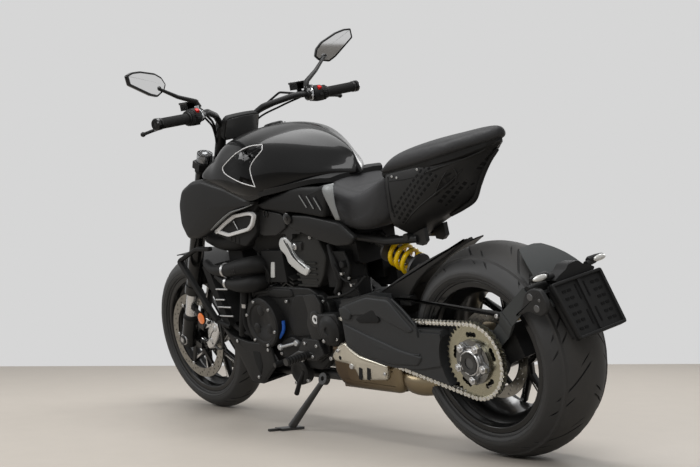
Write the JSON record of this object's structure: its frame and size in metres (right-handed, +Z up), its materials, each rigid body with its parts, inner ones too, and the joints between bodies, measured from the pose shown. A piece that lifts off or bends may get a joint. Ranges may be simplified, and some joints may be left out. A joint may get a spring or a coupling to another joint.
{
  "type": "power cruiser motorcycle",
  "caption": "Low muscular motorcycle with a wide rear tyre on a single-sided arm, side air scoops, stepped seat, drilled brake discs and side stand.",
  "frame": {"origin": "centre of the leaning motorcycle's bounding box, on the floor", "axes": "+X forwards, +Y to the rider's left, +Z up; the motorcycle leans to its left onto its side stand"},
  "size_m": [2.2678, 0.9501, 1.4265],
  "materials": {
    "tyre": "matte black rubber",
    "wheel_black": "satin black with machined edges",
    "disc_steel": "brushed, drilled",
    "axle_steel": "machined",
    "sprocket_silver": "satin anodised",
    "fork_black": "satin black",
    "slider_chrome": "polished",
    "clamp_black": "satin black",
    "bar_black": "satin black with rubber grips",
    "controls_black": "fine grained",
    "mirror_black": "satin black shell",
    "lamp_black": "gloss housing",
    "mudguard_black": "satin black",
    "caliper_silver": "satin",
    "hose_rubber": "smooth black",
    "frame_grey": "satin dark grey",
    "engine_grey": "matte dark grey",
    "cover_grey": "satin dark grey",
    "radiator_black": "satin black",
    "pan_black": "satin black",
    "exhaust_titanium": "heat tinted",
    "tank_gloss": "gloss black lacquer",
    "panel_satin": "satin black",
    "seat_cover": "dark grained cover",
    "shock_metal": "anodised",
    "spring_yellow": "gloss yellow",
    "swingarm_satin": "satin dark grey",
    "chain_steel": "plated links",
    "holder_black": "satin black",
    "peg_grey": "anodised dark",
    "stand_black": "satin black"
  },
  "bodies": {
    "chassis": {"front_frame": "frame_grey", "crankcase": "engine_grey", "cylinder_heads": "engine_grey", "engine_covers": "cover_grey", "radiator": "radiator_black", "belly_pan": "pan_black", "exhaust_headers": "exhaust_titanium", "exhaust_silencer": "exhaust_titanium", "fuel_tank": "tank_gloss", "air_scoops": "panel_satin", "side_panels": "panel_satin", "rider_seat": "seat_cover", "passenger_seat": "seat_cover", "tail_fairing": "panel_satin", "rear_subframe": "frame_grey", "shock_body": "shock_metal", "shock_spring": "spring_yellow", "swingarm": "swingarm_satin", "drive_chain": "chain_steel", "rear_hugger": "mudguard_black", "plate_bracket": "holder_black", "plate_holder": "holder_black", "rear_caliper": "caliper_silver", "foot_controls": "peg_grey"},
    "steering": {"fork_legs": "fork_black", "fork_sliders": "slider_chrome", "triple_clamps": "clamp_black", "handlebar": "bar_black", "hand_controls": "controls_black", "mirrors": "mirror_black", "display": "controls_black", "headlight": "lamp_black", "front_mudguard": "mudguard_black", "front_calipers": "caliper_silver", "front_axle": "axle_steel", "brake_hoses": "hose_rubber"},
    "front_wheel": {"front_rim": "wheel_black", "front_tyre": "tyre", "front_discs": "disc_steel"},
    "rear_wheel": {"rear_rim": "wheel_black", "rear_tyre": "tyre", "rear_disc": "disc_steel", "sprocket": "sprocket_silver", "rear_axle": "axle_steel"},
    "side_stand": {"side_stand": "stand_black"}
  },
  "joints": [
    {"name": "steering_turn", "type": "hinge", "parent": "chassis", "child": "steering", "pos_m": [0.948, -0.2859, 0.00356], "axis": [-0.4384, 0.1965, 0.877], "range_deg": [-30, 30]},
    {"name": "front_wheel_spin", "type": "hinge", "parent": "steering", "child": "front_wheel", "pos_m": [0.836, -0.22074, 0.29434], "axis": [0, 0.9758, -0.2187], "continuous": true},
    {"name": "rear_wheel_spin", "type": "hinge", "parent": "chassis", "child": "rear_wheel", "pos_m": [-0.757, -0.21506, 0.31972], "axis": [0, 0.9758, -0.2187], "continuous": true},
    {"name": "side_stand_fold", "type": "hinge", "parent": "chassis", "child": "side_stand", "pos_m": [-0.002, -0.11552, 0.17854], "axis": [-0.0518, 0.9805, 0.1894], "range_deg": [0, 105]}
  ]
}
